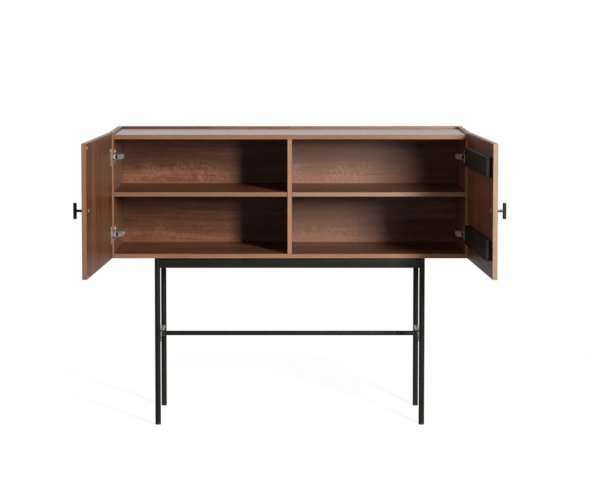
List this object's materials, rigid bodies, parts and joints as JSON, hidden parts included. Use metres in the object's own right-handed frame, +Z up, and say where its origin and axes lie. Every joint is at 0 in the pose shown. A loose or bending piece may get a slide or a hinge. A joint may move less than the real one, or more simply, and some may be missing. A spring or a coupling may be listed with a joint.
{
  "type": "office credenza",
  "caption": "Raised wood-veneer credenza with a shallow tray top, side-hinged doors standing open, shelved bays with a divider, and a black tubular steel stand.",
  "frame": {"origin": "On the floor at mid width, halfway in depth between the free edges of the open doors and the back of the cabinet.", "axes": "+X to the right as seen from the front, +Y from the front to the back, +Z up."},
  "size_m": [1.3308, 0.9992, 0.983],
  "materials": {
    "walnut_veneer": "satin lacquered walnut veneer on board",
    "dark_wood": "satin black-brown stain",
    "black_steel": "fine black powder coat",
    "nickel_steel": "bright nickel plate on pressed steel",
    "black_plastic": "moulded, matte"
  },
  "bodies": {
    "carcass": {"left_side_panel": "walnut_veneer", "right_side_panel": "walnut_veneer", "top_panel": "walnut_veneer", "bottom_panel": "walnut_veneer", "back_panel": "walnut_veneer", "centre_divider": "walnut_veneer", "left_shelf": "walnut_veneer", "right_shelf": "walnut_veneer", "front_left_leg": "black_steel", "front_right_leg": "black_steel", "rear_left_leg": "black_steel", "rear_right_leg": "black_steel", "front_rail": "black_steel", "rear_rail": "black_steel", "left_rail": "black_steel", "right_rail": "black_steel", "left_side_bar": "black_steel", "right_side_bar": "black_steel", "stretcher": "black_steel", "front_left_glide": "black_plastic", "front_right_glide": "black_plastic", "rear_left_glide": "black_plastic", "rear_right_glide": "black_plastic", "left_upper_hinge_plate": "nickel_steel", "left_upper_hinge_arm": "nickel_steel", "left_upper_hinge_arm_pin": "nickel_steel", "left_lower_hinge_plate": "nickel_steel", "left_lower_hinge_arm": "nickel_steel", "left_lower_hinge_arm_pin": "nickel_steel", "right_upper_hinge_plate": "nickel_steel", "right_upper_hinge_arm": "nickel_steel", "right_upper_hinge_arm_pin": "nickel_steel", "right_lower_hinge_plate": "nickel_steel", "right_lower_hinge_arm": "nickel_steel", "right_lower_hinge_arm_pin": "nickel_steel"},
    "left_door_leaf": {"left_door": "walnut_veneer", "left_handle_bar": "black_steel", "left_handle_stem": "black_steel", "left_handle_screw": "nickel_steel", "left_upper_hinge_cup": "nickel_steel", "left_upper_hinge_cup_pin": "nickel_steel", "left_lower_hinge_cup": "nickel_steel", "left_lower_hinge_cup_pin": "nickel_steel"},
    "left_upper_hinge_knuckle": {"left_upper_hinge_link": "nickel_steel"},
    "left_lower_hinge_knuckle": {"left_lower_hinge_link": "nickel_steel"},
    "right_door_leaf": {"right_door": "walnut_veneer", "right_handle_bar": "black_steel", "right_handle_stem": "black_steel", "right_handle_screw": "nickel_steel", "right_upper_hinge_cup": "nickel_steel", "right_upper_hinge_cup_pin": "nickel_steel", "right_lower_hinge_cup": "nickel_steel", "right_lower_hinge_cup_pin": "nickel_steel", "upper_door_rail": "dark_wood", "lower_door_rail": "dark_wood"},
    "right_upper_hinge_knuckle": {"right_upper_hinge_link": "nickel_steel"},
    "right_lower_hinge_knuckle": {"right_lower_hinge_link": "nickel_steel"}
  },
  "joints": [
    {"name": "left_door_hinge", "type": "hinge", "parent": "carcass", "child": "left_door_leaf", "pos_m": [-0.5938, 0.0926, 0.773], "axis": [0, 0, -1], "range_deg": [-93, 7]},
    {"name": "left_upper_link_pivot", "type": "hinge", "parent": "carcass", "child": "left_upper_hinge_knuckle", "pos_m": [-0.58054, 0.0881, 0.902], "axis": [0, 0, -1], "range_deg": [-3, 32]},
    {"name": "left_lower_link_pivot", "type": "hinge", "parent": "carcass", "child": "left_lower_hinge_knuckle", "pos_m": [-0.58054, 0.0881, 0.644], "axis": [0, 0, -1], "range_deg": [-3, 32]},
    {"name": "right_door_hinge", "type": "hinge", "parent": "carcass", "child": "right_door_leaf", "pos_m": [0.5938, 0.0926, 0.773], "axis": [0, 0, 1], "range_deg": [-93, 7]},
    {"name": "right_upper_link_pivot", "type": "hinge", "parent": "carcass", "child": "right_upper_hinge_knuckle", "pos_m": [0.58054, 0.0881, 0.902], "axis": [0, 0, 1], "range_deg": [-3, 32]},
    {"name": "right_lower_link_pivot", "type": "hinge", "parent": "carcass", "child": "right_lower_hinge_knuckle", "pos_m": [0.58054, 0.0881, 0.644], "axis": [0, 0, 1], "range_deg": [-3, 32]}
  ],
  "couplings": [
    {"joint": "left_upper_link_pivot", "follows": "left_door_hinge", "ratio": -0.3387},
    {"joint": "left_lower_link_pivot", "follows": "left_door_hinge", "ratio": -0.3387},
    {"joint": "right_upper_link_pivot", "follows": "right_door_hinge", "ratio": -0.3387},
    {"joint": "right_lower_link_pivot", "follows": "right_door_hinge", "ratio": -0.3387}
  ]
}
